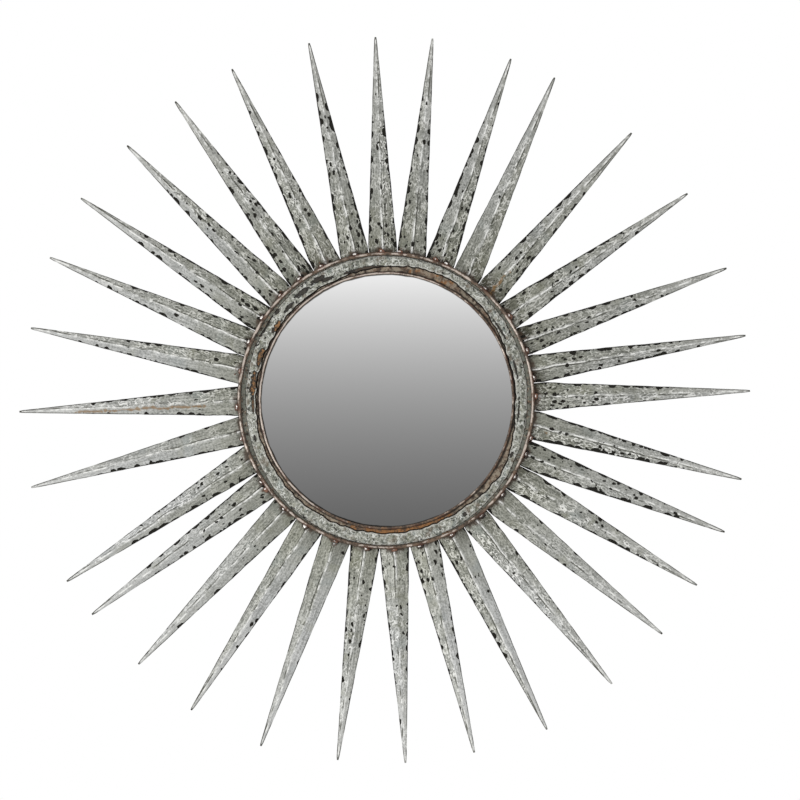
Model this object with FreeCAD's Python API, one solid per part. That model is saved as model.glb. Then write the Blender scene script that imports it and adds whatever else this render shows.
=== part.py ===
import FreeCAD, Part
import math
import os

Vector = FreeCAD.Vector

# A sunburst wall mirror, in millimetres. The wall is the plane y = 0, the mirror faces -Y and +Z is up.
# A depth is a distance in front of the wall. A direction is in degrees clockwise from 12 o'clock, seen from
# the front.

# Rays
tip_radius = 452.0          # centre of the mirror to the ray tips, on average
ray_count = 32
first_ray_direction = -1.5  # the topmost ray leans a little to the left
ray_seat_width = 34.0       # across a ray on the seat circle
ray_tip_width = 2.9         # across the blunt tip
ray_sheet = 1.0             # thickness of the folded sheet
ray_fold = 18.0             # slope of each half of a ray, in degrees
ray_root_gap = 0.6          # left between neighbouring roots
seat_offset = 22.9          # seat circle, where directions and widths are set, outside the outer rod
# The rays were set by eye: degrees that each seat is off the even spacing, clockwise
seat_drift = (
    0.0, -0.5, 0.0, -0.25, 0.0, 0.5, 1.0, 1.0,
    0.0, 0.25, 0.25, -1.5, -1.75, -2.0, -2.0, -2.0,
    -1.5, -1.5, -1.0, -0.5, -0.5, 0.0, -0.5, 0.5,
    1.0, 2.25, 1.75, 1.0, 1.0, 0.5, 0.0, 0.5,
)
# Degrees that each tip stands off its own seat, clockwise
tip_lean = (
    -0.25, -2.0, -1.0, -4.5, -1.0, 0.25, 1.75, 1.5,
    0.0, 2.5, 0.0, 0.0, -1.5, -1.25, 0.0, 0.75,
    0.0, -0.5, 0.0, 0.5, 0.25, -0.75, -5.0, -1.5,
    -1.25, -0.5, 0.25, 0.25, 0.0, -0.5, -1.0, 0.0,
)
# Millimetres that each tip stands beyond the average, or short of it
tip_reach = (
    -1.0, 0.5, -1.0, -0.5, -2.0, 1.0, 0.5, 0.5,
    -1.0, -1.0, -2.0, -4.0, -4.0, -3.0, 2.0, -2.0,
    -2.0, -2.0, 4.0, 2.0, -3.0, -0.5, 3.5, 1.5,
    3.5, -2.0, 1.5, 2.5, -1.0, 2.0, 1.5, 1.5,
)
weld_radius = 3.4           # bead where a ridge meets the outer rod
weld_gap = 0.1              # left between welded pieces

# Glass and backing
glass_radius = 165.0
glass_thickness = 4.0
board_thickness = 9.0
glass_play = 1.0            # round the glass and board, inside the casing
casing_wall = 1.5
casing_standoff = 1.0       # rear edge of the casing to the wall

# Rim
glass_cover = 7.5           # from the edge of the glass in to the middle of the inner wire
rim_width = 24.6            # middle of the inner wire to the middle of the outer rod
rim_plate_thickness = 1.5
rim_plate_lip = 1.0         # rim plate beyond the middle of each wire
inner_wire_diameter = 3.2
outer_rod_diameter = 5.0
root_play = 2.5             # casing to the inner end of a ray
rust_band = 6.0             # bare rim plate between the inner wire and the zinc strip
rim_groove = 3.0            # between the zinc strip and the outer rod
zinc_sheet = 0.8
zinc_crown = 1.4            # rise of the strip in its middle

# Clips that hold the board in
clip_count = 8
clip_width = 16.0
clip_sheet = 1.2
clip_reach = 14.0           # over the back of the board
clip_setback = 1.0          # from the rear edge of the casing
first_clip_direction = 22.5

# Pads that rest on the wall
pad_count = 4
pad_diameter = 14.0
pad_height = 7.0
pad_chamfer = 1.0
pad_inset = 25.0            # edge of the board in to the middle of a pad
first_pad_direction = 45.0

# Hanger
hanger_inset = 43.0         # top edge of the board down to the hinge axis of the ring
strap_width = 14.0
strap_sheet = 1.0
strap_tail = 34.0           # hinge axis down to the end of the strap
strap_screw_drops = (12.0, 26.0)
strap_hole_play = 0.2
ring_wire = 3.0
ring_width = 24.0           # between the middles of the two arms
ring_corner = 4.0
ring_arm = 6.0              # height at which the arms turn into the top bow
ring_hinge_play = 0.1
ring_rest_gap = 0.3         # top bow to the board
screw_shank = 3.0
screw_length = 6.5
screw_head = 6.0
screw_head_height = 1.8
screw_slot_width = 0.8
screw_slot_depth = 0.9
screw_hole_play = 0.05
screw_hole_spare = 0.5      # board hole deeper than the screw

# Depths, from the wall to the front
board_back = pad_height
board_front = board_back + board_thickness
glass_front = board_front + glass_thickness
plate_front = glass_front + rim_plate_thickness
ridge_depth = glass_front - weld_gap
deep = 2.0 * plate_front    # a cut or a prism this deep passes through everything

# Radii
casing_inner = glass_radius + glass_play
casing_outer = casing_inner + casing_wall
inner_wire_radius = glass_radius - glass_cover
outer_rod_radius = inner_wire_radius + rim_width
plate_inner = inner_wire_radius - rim_plate_lip
plate_outer = outer_rod_radius + rim_plate_lip
zinc_inner = inner_wire_radius + rust_band
zinc_outer = outer_rod_radius - outer_rod_diameter / 2 - rim_groove
root_radius = casing_outer + root_play
pad_circle = glass_radius - pad_inset
hanger_height = glass_radius - hanger_inset
seat_radius = outer_rod_radius + seat_offset
trim_radius = seat_radius + ray_seat_width / 2

fold_slope = math.tan(math.radians(ray_fold))
fold_thickness = ray_sheet / math.cos(math.radians(ray_fold))

middle = Vector(0, 0, 0)
to_front = Vector(0, -1, 0)
turn_axis = Vector(0, 1, 0)


def at(radius, direction, depth=0.0):
    """Point at a radius and a clock direction, a depth in front of the wall."""
    angle = math.radians(direction)
    return Vector(radius * math.sin(angle), -depth, radius * math.cos(angle))


def direction_of(point):
    """Clock direction of a point."""
    return math.degrees(math.atan2(point.x, point.z))


def disc(radius, back, front):
    return Part.makeCylinder(radius, front - back, Vector(0, -back, 0), to_front)


def flat_ring(inner, outer, back, front):
    return disc(outer, back, front).cut(disc(inner, back, front))


def hoop(radius, diameter, depth):
    return Part.makeTorus(radius, diameter / 2, Vector(0, -depth, 0), to_front)


def polygon(points):
    return Part.Face(Part.makePolygon(list(points) + [points[0]]))


def turned(shape, direction):
    """Copy of a shape made at 12 o'clock, turned to a clock direction."""
    copy = shape.copy()
    copy.rotate(middle, turn_axis, direction)
    return copy


def ring_of(shape, count, first_direction):
    return Part.makeCompound([turned(shape, first_direction + k * 360.0 / count) for k in range(count)])


# Rim


def make_rim_plate():
    return flat_ring(plate_inner, plate_outer, glass_front, plate_front)


def make_inner_wire():
    return hoop(inner_wire_radius, inner_wire_diameter, plate_front + inner_wire_diameter / 2)


def make_outer_rod():
    return hoop(outer_rod_radius, outer_rod_diameter, plate_front + outer_rod_diameter / 2)


def make_zinc_face():
    """Shallow arched strip, resting on both edges."""
    crest = (zinc_inner + zinc_outer) / 2

    def arch(lift):
        base = plate_front + lift
        return Part.Arc(
            at(zinc_inner, 0, base), at(crest, 0, base + zinc_crown), at(zinc_outer, 0, base)
        ).toShape()

    under = arch(0.0)
    over = arch(zinc_sheet)
    inner_end = Part.makeLine(at(zinc_inner, 0, plate_front), at(zinc_inner, 0, plate_front + zinc_sheet))
    outer_end = Part.makeLine(at(zinc_outer, 0, plate_front), at(zinc_outer, 0, plate_front + zinc_sheet))
    section = Part.Face(Part.Wire(Part.__sortEdges__([under, outer_end, over, inner_end])))
    return section.revolve(middle, turn_axis, 360)


# Glass and backing


def make_casing_band():
    return flat_ring(casing_inner, casing_outer, casing_standoff, glass_front)


def make_mirror_glass():
    return disc(glass_radius, board_front, glass_front)


def make_backing_board():
    board = disc(glass_radius, board_back, board_front)
    hole_radius = screw_shank / 2 + screw_hole_play
    hole_depth = screw_length - strap_sheet + screw_hole_spare
    for drop in strap_screw_drops:
        mouth = at(hanger_height - drop, 0, board_back)
        board = board.cut(Part.makeCylinder(hole_radius, hole_depth, mouth, to_front))
    return board


def make_retaining_clips():
    """Bent clips inside the casing, pressed on the back of the board."""
    half = clip_width / 2
    wall = math.sqrt((casing_inner - weld_gap) ** 2 - half**2)
    rear = casing_standoff + clip_setback
    outline = (
        (wall, board_back),
        (wall, rear),
        (wall - clip_sheet, rear),
        (wall - clip_sheet, board_back - clip_sheet),
        (wall - clip_reach, board_back - clip_sheet),
        (wall - clip_reach, board_back),
    )
    section = polygon([Vector(-half, -depth, radius) for radius, depth in outline])
    clip = section.extrude(Vector(clip_width, 0, 0))
    return ring_of(clip, clip_count, first_clip_direction)


def make_wall_pads():
    pad_radius = pad_diameter / 2
    tip = Part.makeCone(pad_radius - pad_chamfer, pad_radius, pad_chamfer, at(pad_circle, 0), to_front)
    body = Part.makeCylinder(
        pad_radius, pad_height - pad_chamfer, at(pad_circle, 0, pad_chamfer), to_front
    )
    return ring_of(tip.fuse(body).removeSplitter(), pad_count, first_pad_direction)


# Rays


def ray_line(index):
    """Points in the wall plane where a ray's middle line crosses the seat circle and ends."""
    even = first_ray_direction + index * 360.0 / ray_count
    seat = even + seat_drift[index % len(seat_drift)]
    tip = seat + tip_lean[index % len(tip_lean)]
    reach = tip_radius + tip_reach[index % len(tip_reach)]
    return at(seat_radius, seat), at(reach, tip)


def ray_direction(index, radius):
    """Clock direction in which a ray's middle line crosses a circle."""
    seat, tip = ray_line(index % ray_count)
    along = (tip - seat).normalize()
    nearest = -seat.dot(along)
    foot = seat + along * nearest
    reach = math.sqrt(radius**2 - foot.Length**2)
    return direction_of(foot + along * reach)


def halfway(first, second):
    """Direction midway from one direction clockwise to another."""
    return first + ((second - first) % 360.0) / 2


def trim_block(index, neighbour, side):
    """Room that belongs to the neighbour on one side (1 is clockwise) of a ray's root."""
    corners = []
    for radius in (root_radius, trim_radius):
        here = ray_direction(index, radius)
        there = ray_direction(neighbour, radius)
        border = halfway(here, there) if side > 0 else halfway(there, here)
        spare = math.degrees(ray_root_gap / 2 / radius)
        corners.append(at(radius, border - side * spare))
    inner, outer = corners
    along = (outer - inner).normalize()
    across = along.cross(turn_axis) * (-side)
    inner = inner - along * root_radius / 2
    room = ray_seat_width
    block = polygon([inner, outer, outer + across * room, inner + across * room])
    return block.extrude(to_front * deep)


def fold_frame(index):
    """Seat and tip of a ray, with unit vectors along it and across it."""
    seat, tip = ray_line(index)
    along = (tip - seat).normalize()
    across = turn_axis.cross(along)
    return seat, tip, along, across


def fold_prism(index, under):
    """Long straight chevron on a ray's ridge line, a thickness of under below its two slopes."""
    seat, tip, along, across = fold_frame(index)
    start = seat - along * seat_radius / 2
    width = ray_seat_width
    drop = width * fold_slope
    profile = (
        (-width, ridge_depth - drop),
        (0.0, ridge_depth),
        (width, ridge_depth - drop),
        (width, ridge_depth - drop - under),
        (0.0, ridge_depth - under),
        (-width, ridge_depth - drop - under),
    )
    section = polygon([start + across * side + to_front * depth for side, depth in profile])
    return section.extrude(along * ((tip - start).Length + ray_seat_width))


def ray_plan(index):
    """Tapered outline of a ray, as a tall prism."""
    seat, tip, along, across = fold_frame(index)
    length = (tip - seat).Length
    taper = (ray_seat_width - ray_tip_width) / 2 / length
    inward = seat_radius - root_radius / 2
    root = seat - along * inward
    root_half = ray_seat_width / 2 + taper * inward
    tip_half = ray_tip_width / 2
    outline = polygon(
        [
            root - across * root_half,
            tip - across * tip_half,
            tip + across * tip_half,
            root + across * root_half,
        ]
    )
    return outline.extrude(to_front * deep)


def make_ray(index):
    ray = fold_prism(index, fold_thickness).common(ray_plan(index))
    ray = ray.cut(trim_block(index, index + 1, 1))
    ray = ray.cut(trim_block(index, index - 1, -1))
    ray = ray.cut(disc(root_radius, 0, deep))
    return ray.Solids[0]


def make_ray_welds(rod, plate_edge):
    """Beads that saddle each ridge against the outer rod."""
    beads = []
    centre_radius = outer_rod_radius + outer_rod_diameter / 2 + weld_radius / 4
    for index in range(ray_count):
        centre = at(centre_radius, ray_direction(index, centre_radius), plate_front)
        bead = Part.makeSphere(weld_radius, centre, to_front)
        below = fold_prism(index, ridge_depth)
        below.translate(to_front * weld_gap)
        beads.append(bead.cut(below).cut(rod).cut(plate_edge).Solids[0])
    return Part.makeCompound(beads)


# Hanger

hinge_radius = ring_wire / 2 + ring_hinge_play
loop_radius = hinge_radius + strap_sheet
hinge_depth = board_back - loop_radius
ring_height = ring_arm + ring_width / 2
ring_lean = math.degrees(math.asin((loop_radius - ring_wire / 2 - ring_rest_gap) / ring_height))
hinge = at(hanger_height, 0, hinge_depth)
hinge_line = Vector(1, 0, 0)


def make_hanger_strap():
    """Flat strap curled round the ring's bar, with a rounded tail and two screw holes."""
    half = strap_width / 2
    end = hanger_height - strap_tail
    rear = board_back - strap_sheet
    tail = Part.makeBox(
        strap_width, strap_sheet, strap_tail - half, Vector(-half, -board_back, end + half)
    )
    tail_end = Part.makeCylinder(half, strap_sheet, Vector(0, -rear, end + half), to_front)
    loop = Part.makeCylinder(loop_radius, strap_width, hinge - hinge_line * half, hinge_line)
    bore = Part.makeCylinder(hinge_radius, strap_width, hinge - hinge_line * half, hinge_line)
    strap = loop.fuse(tail).fuse(tail_end).cut(bore)
    for drop in strap_screw_drops:
        hole_start = at(hanger_height - drop, 0, rear)
        hole = Part.makeCylinder(screw_shank / 2 + strap_hole_play, strap_sheet, hole_start, to_front)
        strap = strap.cut(hole)
    return strap.removeSplitter()


def make_hanger_screws():
    """Slotted screws, heads on the strap and shanks in the board."""
    seat = board_back - strap_sheet
    screws = []
    for drop in strap_screw_drops:
        height = hanger_height - drop
        shank = Part.makeCylinder(screw_shank / 2, screw_length, at(height, 0, seat), to_front)
        head_back = at(height, 0, seat - screw_head_height)
        head = Part.makeCylinder(screw_head / 2, screw_head_height, head_back, to_front)
        slot = Part.makeBox(
            screw_head, screw_slot_depth, screw_slot_width,
            head_back + Vector(-screw_head / 2, -screw_slot_depth, -screw_slot_width / 2),
        )
        screws.append(head.fuse(shank).cut(slot))
    return Part.makeCompound(screws)


def make_hanger_ring():
    """D-shaped wire ring standing in the strap, leaning on the board."""
    arm = ring_width / 2
    bar = arm - ring_corner
    turn = ring_corner * (1 - math.sqrt(0.5))

    def spot(across, up):
        return hinge + Vector(across, 0, up)

    path = Part.Wire(
        [
            Part.makeLine(spot(-bar, 0), spot(bar, 0)),
            Part.Arc(spot(bar, 0), spot(arm - turn, turn), spot(arm, ring_corner)).toShape(),
            Part.makeLine(spot(arm, ring_corner), spot(arm, ring_arm)),
            Part.Arc(spot(arm, ring_arm), spot(0, ring_height), spot(-arm, ring_arm)).toShape(),
            Part.makeLine(spot(-arm, ring_arm), spot(-arm, ring_corner)),
            Part.Arc(spot(-arm, ring_corner), spot(turn - arm, turn), spot(-bar, 0)).toShape(),
        ]
    )
    section = Part.Wire([Part.makeCircle(ring_wire / 2, spot(-bar, 0), hinge_line)])
    ring = path.makePipeShell([section], True, False)
    print("hanger ring volume", ring.Volume, "section times length", Part.Face(section).Area * path.Length)
    ring.rotate(hinge, hinge_line, ring_lean)
    return ring


def save(name, shape):
    if not shape.isValid():
        raise ValueError(name + " is not a valid solid")
    shape.exportStep("parts/" + name + ".step")


os.makedirs("parts", exist_ok=True)

save("rim_plate", make_rim_plate())
save("inner_wire", make_inner_wire())
save("outer_rod", make_outer_rod())
save("zinc_face", make_zinc_face())
save("casing_band", make_casing_band())
save("mirror_glass", make_mirror_glass())
save("backing_board", make_backing_board())
save("retaining_clips", make_retaining_clips())
save("wall_pads", make_wall_pads())
for ray_index in range(ray_count):
    save("ray_%02d" % (ray_index + 1), make_ray(ray_index))
weld_clear_rod = hoop(
    outer_rod_radius, outer_rod_diameter + 2 * weld_gap, plate_front + outer_rod_diameter / 2
)
weld_clear_plate = disc(plate_outer + weld_gap, 0, plate_front + weld_gap)
save("ray_welds", make_ray_welds(weld_clear_rod, weld_clear_plate))
save("hanger_strap", make_hanger_strap())
save("hanger_screws", make_hanger_screws())
save("hanger_ring", make_hanger_ring())
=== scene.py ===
import bpy
import bmesh
import random
from math import atan2, copysign, cos, degrees, exp, hypot, radians, remainder, sin, sqrt, tan, tau
from types import SimpleNamespace
from mathutils import Matrix, Vector, kdtree, noise


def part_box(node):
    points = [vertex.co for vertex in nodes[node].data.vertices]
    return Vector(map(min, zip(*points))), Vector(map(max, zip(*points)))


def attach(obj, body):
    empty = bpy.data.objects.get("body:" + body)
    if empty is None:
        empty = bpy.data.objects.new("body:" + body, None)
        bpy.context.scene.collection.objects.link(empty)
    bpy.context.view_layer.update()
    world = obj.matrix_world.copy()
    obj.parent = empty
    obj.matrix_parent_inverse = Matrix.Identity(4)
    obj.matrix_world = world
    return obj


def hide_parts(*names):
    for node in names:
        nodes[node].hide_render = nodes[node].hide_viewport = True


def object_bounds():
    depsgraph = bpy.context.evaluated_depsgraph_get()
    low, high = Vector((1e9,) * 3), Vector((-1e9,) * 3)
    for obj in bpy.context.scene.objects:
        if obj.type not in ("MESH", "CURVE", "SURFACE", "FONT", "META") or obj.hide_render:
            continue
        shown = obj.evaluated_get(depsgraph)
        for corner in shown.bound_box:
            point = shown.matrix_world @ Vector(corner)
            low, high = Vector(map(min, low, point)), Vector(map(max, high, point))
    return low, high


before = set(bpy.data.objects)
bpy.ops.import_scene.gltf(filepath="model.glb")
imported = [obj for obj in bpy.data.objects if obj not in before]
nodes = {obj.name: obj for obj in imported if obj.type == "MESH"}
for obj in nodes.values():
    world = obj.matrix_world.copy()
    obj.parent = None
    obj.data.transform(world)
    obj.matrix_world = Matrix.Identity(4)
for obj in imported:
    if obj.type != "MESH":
        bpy.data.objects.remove(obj)  # metres, wall at y = 0, the mirror faces -Y, +Z is up
cadLow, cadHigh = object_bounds()
print("frame loaded:", len(nodes), "nodes")


def outerRadius(name):
    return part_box(name)[1].x


def frontDepth(name):
    return -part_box(name)[0].y


def addObject(name, data):
    made = bpy.data.objects.new(name, data)
    bpy.context.scene.collection.objects.link(made)
    return made


# camera, straight on with a long lens

photoView = {
    "imageSize": 800,
    "frameWidth": 0.992,  # metres across the picture, at the rays
    "mirrorPixel": (386.5, 400.5),  # middle of the mirror in the picture
    "distance": 5.0,  # camera to the rays
    "sensor": 36.0,
}


def makeCamera(view):
    rayPlane = -frontDepth("ray_01")
    pixel = view["frameWidth"] / view["imageSize"]
    middle = view["imageSize"] / 2
    data = bpy.data.cameras.new("photoCamera")
    data.sensor_width = view["sensor"]
    data.lens = view["sensor"] * view["distance"] / view["frameWidth"]
    camera = addObject("photoCamera", data)
    sideways = (middle - view["mirrorPixel"][0]) * pixel
    upwards = (view["mirrorPixel"][1] - middle) * pixel
    camera.location = (sideways, rayPlane - view["distance"], upwards)
    camera.rotation_euler = (radians(90), 0, 0)
    bpy.context.scene.camera = camera
    return camera


camera = makeCamera(photoView)
bpy.context.scene.view_settings.view_transform = "Standard"
print("camera set")


# numbers, places and colours in a shader, so that a finish can be written as sums

def arithmetic(operation):  # for a value before anything, and for a number before a value
    return (
        lambda first, second: calc(operation, first, second),
        lambda second, first: calc(operation, first, second),
    )


class Value:
    __add__, __radd__ = arithmetic("ADD")
    __sub__, __rsub__ = arithmetic("SUBTRACT")
    __mul__, __rmul__ = arithmetic("MULTIPLY")
    __truediv__, __rtruediv__ = arithmetic("DIVIDE")
    __pow__, __rpow__ = arithmetic("POWER")

    def __init__(self, tree, socket):
        self.tree = tree
        self.socket = socket

    def __abs__(self):
        return calc("ABSOLUTE", self)


def setInput(tree, target, value):  # a link or a fixed value
    if isinstance(value, Value):
        tree.links.new(value.socket, target)
    elif target.type == "RGBA":
        target.default_value = (*value, 1.0)
    else:
        target.default_value = value


def addNode(tree, kind, inputs=None, **settings):
    made = tree.nodes.new(kind)
    for name, value in settings.items():
        setattr(made, name, value)
    for socket, value in (inputs or {}).items():
        setInput(tree, made.inputs[socket], value)
    return made


def nodeValue(kind, output, inputs, **settings):  # one output of a new node, in the tree of its inputs
    tree = next(value.tree for value in inputs.values() if isinstance(value, Value))
    return Value(tree, addNode(tree, kind, inputs, **settings).outputs[output])


def calc(operation, first, second=0.0):
    return nodeValue("ShaderNodeMath", 0, {0: first, 1: second}, operation=operation)


def larger(first, second):
    return calc("MAXIMUM", first, second)


def ringRadius(x, z):
    return calc("SQRT", x * x + z * z)


def ramp(value, low, high):  # 0 at low, 1 at high, either way round
    inputs = {"Value": value, "From Min": low, "From Max": high}
    return nodeValue("ShaderNodeMapRange", "Result", inputs, interpolation_type="SMOOTHSTEP")


def cloud(place, size, detail=2.0, roughness=0.5):
    inputs = {"Vector": place, "Scale": 1.0 / size, "Detail": detail, "Roughness": roughness}
    return nodeValue("ShaderNodeTexNoise", "Fac", inputs)


def stretch(place, sizes):  # place measured in these sizes
    shares = tuple(1.0 / size for size in sizes)
    return nodeValue("ShaderNodeVectorMath", 0, {0: place, 1: shares}, operation="MULTIPLY")


def warp(place, size, amounts):  # place pushed about by a noise
    pushed = nodeValue("ShaderNodeTexNoise", "Color", {"Vector": place, "Scale": 1.0 / size, "Detail": 2.0})
    return nodeValue("ShaderNodeVectorMath", 0, {0: pushed, 1: amounts, 2: place}, operation="MULTIPLY_ADD")


def split(place):
    outputs = addNode(place.tree, "ShaderNodeSeparateXYZ", {0: place}).outputs
    return [Value(place.tree, socket) for socket in outputs]


def joinPlace(x, y):
    return nodeValue("ShaderNodeCombineXYZ", 0, {0: x, 1: y})


def flatPlace(place):  # two coordinates, each seed on its own sheet
    x, y, seed = split(place)
    return joinPlace(x, y + seed * 17.0)


def tint(amount, first, second, mode="MIX"):
    inputs = {0: amount, 6: first, 7: second}
    return nodeValue("ShaderNodeMix", 2, inputs, data_type="RGBA", blend_type=mode)


def attribute(tree, name):
    return Value(tree, addNode(tree, "ShaderNodeAttribute", attribute_name=name).outputs["Vector"])


def scatter(place, socket, dimensions):  # distance to the nearest of many points, and its three chances
    tree = place.tree
    inputs = {socket: place, "Scale": 1.0}
    cells = addNode(tree, "ShaderNodeTexVoronoi", inputs, voronoi_dimensions=dimensions).outputs
    chances = addNode(tree, "ShaderNodeSeparateColor", {0: Value(tree, cells["Color"])}).outputs
    return Value(tree, cells["Distance"]), [Value(tree, chance) for chance in chances]


def spots(place, share, radii, softness):  # round marks, one to a cell at most
    distance, chances = scatter(place, "Vector", "2D")
    smallest, largest = radii
    present = calc("LESS_THAN", chances[1], share)
    radius = (chances[0] * (largest - smallest) + smallest) * present
    return ramp(distance - radius, 0.0, -softness) * present


def bump(height, distance, strength):
    return nodeValue("ShaderNodeBump", 0, {"Height": height, "Distance": distance, "Strength": strength})


def newFinish(name):  # a material, and the place on the object that wears it
    material = bpy.data.materials.new(name)
    material.use_nodes = True
    tree = material.node_tree
    return material, Value(tree, addNode(tree, "ShaderNodeTexCoord").outputs["Object"])


def coat(material, colour, roughness, normal=None, metallic=0.0, specular=0.5):
    looks = {"Base Color": colour, "Roughness": roughness, "Metallic": metallic}
    looks["Specular IOR Level"] = specular
    if normal:
        looks["Normal"] = normal
    shader = material.node_tree.nodes["Principled BSDF"]
    for socket, value in looks.items():
        setInput(material.node_tree, shader.inputs[socket], value)
    return material


# studio: white surroundings, a pale floor well below, soft lamps, a card that the glass reflects

studio = {
    "white": (1.0, 1.0, 1.0),
    "surroundings": 0.59,  # light from all round
    "lamps": (  # name, power, size, place, seen in metal
        ("keyLamp", 9.8, 0.5, (-1.6, -1.4, -0.7), True),
        ("fillLamp", 30.0, 1.6, (-0.4, -3.0, -0.25), False),
    ),
    "floorDrop": 0.32,  # below the lowest ray
    "floorRadius": 1.35,
    "floorFade": (0.45, 0.95),  # shares of that radius over which it turns white
    "floorColour": (0.82, 0.82, 0.81),
    "floorRoughness": 0.9,
    "cardBehind": 0.5,  # behind the camera
    "cardWidth": 1.0,
    "cardMiddle": 0.335,  # brightness at the height of the camera
    "cardDoubling": 0.24,  # metres up the card over which it doubles
}


def seesBackground(tree):  # 1 where the camera, metal or glass looks, 0 for lighting
    path = addNode(tree, "ShaderNodeLightPath").outputs
    kinds = ("Is Camera Ray", "Is Glossy Ray", "Is Transmission Ray")
    seen, mirrored, through = (Value(tree, path[kind]) for kind in kinds)
    return larger(larger(seen, mirrored), through)


def shine(tree, kind, strength):  # white light
    made = addNode(tree, kind, {"Color": studio["white"], "Strength": strength})
    return Value(tree, made.outputs[0])


def chooseShader(choice, first, second):
    return nodeValue("ShaderNodeMixShader", 0, {0: choice, 1: first, 2: second})


def showShader(tree, shader):
    setInput(tree, tree.nodes["Material Output"].inputs[0], shader)


def makeSurroundings():
    world = bpy.data.worlds.new("whiteStudio")
    world.use_nodes = True
    tree = world.node_tree
    tree.nodes.clear()
    white = shine(tree, "ShaderNodeBackground", 1.0)
    light = shine(tree, "ShaderNodeBackground", studio["surroundings"])
    addNode(tree, "ShaderNodeOutputWorld", {0: chooseShader(seesBackground(tree), light, white)})
    bpy.context.scene.world = world


def addLamp(name, power, size, place, mirrored):
    data = bpy.data.lights.new(name, "AREA")
    data.shape = "DISK"
    data.size = size
    data.energy = power
    lamp = addObject(name, data)
    lamp.location = place
    lamp.rotation_euler = (-Vector(place)).to_track_quat("-Z", "Y").to_euler()
    lamp.visible_glossy = mirrored


def addMesh(name, work, material):
    mesh = bpy.data.meshes.new(name)
    work.to_mesh(mesh)
    work.free()
    mesh.materials.append(material)
    return addObject(name, mesh)


def stageMesh(name, work, material):
    made = addMesh(name, work, material)
    return made


def makeFloor():
    material, place = newFinish("paleFloor")
    tree = place.tree
    radius = studio["floorRadius"]
    x, y = split(place)[:2]
    edge = ramp(ringRadius(x, y), *(share * radius for share in studio["floorFade"]))
    coat(material, studio["floorColour"], studio["floorRoughness"])
    floor = Value(tree, tree.nodes["Principled BSDF"].outputs[0])
    glow = shine(tree, "ShaderNodeEmission", 1.0)
    showShader(tree, chooseShader(edge * seesBackground(tree), floor, glow))
    work = bmesh.new()
    lift = Matrix.Translation((0, 0, cadLow.z - studio["floorDrop"]))
    bmesh.ops.create_circle(work, cap_ends=True, segments=96, radius=radius, matrix=lift)
    stageMesh("paleFloor", work, material)


def makeReflectedCard():
    material, place = newFinish("gradedCard")
    tree = place.tree
    height = split(place)[2]
    level = 2.0 ** (height / studio["cardDoubling"]) * studio["cardMiddle"]
    showShader(tree, shine(tree, "ShaderNodeEmission", level))
    tree.nodes.remove(tree.nodes["Principled BSDF"])
    work = bmesh.new()
    stand = Matrix.Translation((0, camera.location.y - studio["cardBehind"], 0))
    upright = stand @ Matrix.Rotation(radians(90), 4, "X")
    bmesh.ops.create_grid(work, x_segments=1, y_segments=1, size=studio["cardWidth"] / 2, matrix=upright)
    card = stageMesh("gradedCard", work, material)
    card.visible_camera = False
    card.visible_diffuse = False
    card.visible_shadow = False
    card.visible_transmission = False


makeSurroundings()
for lamp in studio["lamps"]:
    addLamp(*lamp)
makeFloor()
makeReflectedCard()
print("studio set")


# galvanised sheet, shared by the rays and the strip on the rim

zinc = {
    "dull": (0.15, 0.156, 0.142),
    "pale": (0.62, 0.626, 0.612),
    "olive": (0.27, 0.272, 0.19),
    "bluish": (0.33, 0.375, 0.39),
    "fleck": (0.92, 0.92, 0.9),
    "smudgeAndShade": (0.065, 0.065, 0.056),
    "patchSize": 0.03,
    "grainSize": 0.0025,
    "scratchSizes": (0.0072, 0.0032, 1.0),
    "scratchBreaks": 0.0062,
    "speckSize": 0.0024,
    "streakSizes": (0.03, 0.0018, 1.0),
}


def zincLook(place, tones, fleckShare):  # colour, grain and pale flecks of weathered zinc
    patch = tones["patchSize"]
    grain = cloud(place, tones["grainSize"], 3.0, 0.65)
    streaks = cloud(stretch(place, tones["streakSizes"]), 1.0)
    tone = cloud(place, patch) * 0.12 + grain * 0.55 + streaks * 0.33
    colour = tint(ramp(tone, 0.38, 0.62), tones["dull"], tones["pale"])
    shifted = stretch(place, (0.8, 1.3, 1.0))
    olive = ramp(cloud(shifted, patch * 0.8), 0.52, 0.72)
    colour = tint(olive * 0.4, colour, tones["olive"])
    bluish = ramp(cloud(shifted, patch * 1.3, 1.0), 0.42, 0.26)
    colour = tint(bluish * 0.4, colour, tones["bluish"])

    # short pale scratches, each with a painted shade line beside it, as if embossed
    wander = cloud(stretch(place, tones["scratchSizes"]), 1.0, 1.0)
    broken = ramp(cloud(place, tones["scratchBreaks"], 1.0), 0.66, 0.5)
    gathered = ramp(cloud(place, patch * 0.6, 1.0), 0.32, 0.54)
    shown = broken * gathered * fleckShare
    paintedShadeSide = ramp(abs(wander - 0.6), 0.05, 0.02) * shown
    colour = tint(paintedShadeSide * 0.75, colour, tones["smudgeAndShade"])
    flecks = ramp(abs(wander - 0.5), 0.07, 0.035) * shown
    colour = tint(flecks * 0.95, colour, tones["fleck"])
    specks = ramp(cloud(place, tones["speckSize"], 1.0), 0.34, 0.25)
    return tint(specks * 0.6, colour, tones["smudgeAndShade"]), grain, flecks


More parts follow.
